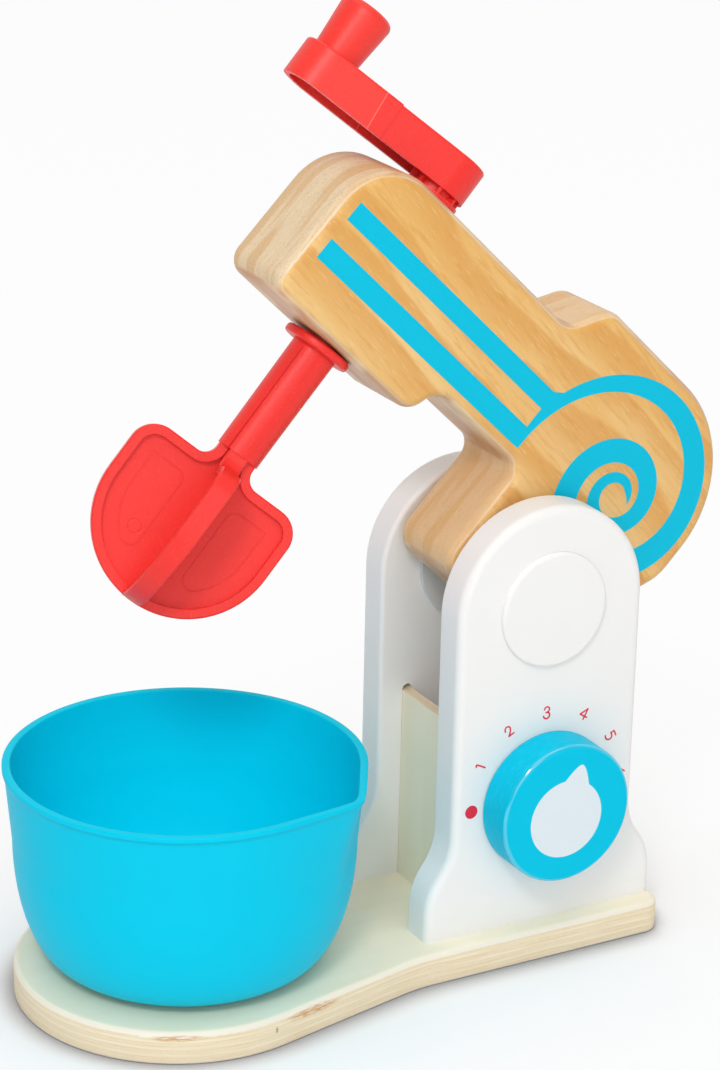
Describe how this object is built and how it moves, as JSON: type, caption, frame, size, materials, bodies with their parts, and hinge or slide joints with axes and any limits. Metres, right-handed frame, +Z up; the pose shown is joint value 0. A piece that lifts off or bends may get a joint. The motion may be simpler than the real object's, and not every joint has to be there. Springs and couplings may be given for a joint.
{
  "type": "toy stand mixer",
  "caption": "Wooden toy stand mixer with a tilting head, hand crank turning a plastic beater, a number dial and a loose bowl.",
  "frame": {"origin": "middle of the base board's flat underside", "axes": "+Z up; -X towards the bowl end and the nose of the head; -Y towards the side with the dial"},
  "size_m": [0.2657, 0.1256, 0.3396],
  "materials": {
    "board_ply": "birch plywood, pale sage paint on the top face, clear raw edge",
    "panel_ply": "thin plywood, pale sage paint on the faces, raw edge",
    "white_paint": "satin white paint on wood",
    "head_wood": "clear satin lacquer on solid wood",
    "red_plastic": "fine satin moulded red",
    "blue_plastic": "satin moulded turquoise",
    "blue_paint": "satin turquoise paint on wood",
    "plain_wood": "bare hardwood dowel",
    "grey_plastic": "moulded light grey",
    "steel": "zinc plated"
  },
  "bodies": {
    "stand": {"base_board": "board_ply", "base_screws": "steel", "near_upright": "white_paint", "far_upright": "white_paint", "front_panel": "panel_ply", "rear_panel": "panel_ply", "near_spacer": "grey_plastic", "far_spacer": "grey_plastic", "pivot_bolt": "steel", "pivot_washers": "steel", "pivot_nut": "steel", "near_cap": "white_paint", "far_cap": "white_paint"},
    "head": {"head_block": "head_wood", "pivot_bush": "grey_plastic"},
    "drive": {"crank": "red_plastic", "drive_rod": "steel", "beater": "red_plastic"},
    "dial": {"dial_knob": "blue_paint", "dial_spindle": "plain_wood", "dial_washer": "steel", "dial_screw": "steel"},
    "bowl": {"bowl": "blue_plastic"}
  },
  "joints": [
    {"name": "head_tilt", "type": "hinge", "parent": "stand", "child": "head", "pos_m": [0.0685, 0, 0.1316], "axis": [0, -1, 0], "range_deg": [0, 44.1]},
    {"name": "crank_spin", "type": "hinge", "parent": "head", "child": "drive", "pos_m": [-0.00629, 0, 0.22858], "axis": [0.66, 0, 0.7513], "continuous": true},
    {"name": "dial_turn", "type": "hinge", "parent": "stand", "child": "dial", "pos_m": [0.0685, 0, 0.05935], "axis": [0, -1, 0], "continuous": true},
    {"name": "bowl_slide", "type": "slide", "parent": "stand", "child": "bowl", "axis": [-0.9397, 0, 0.342], "range_m": [0, 0.18]}
  ]
}
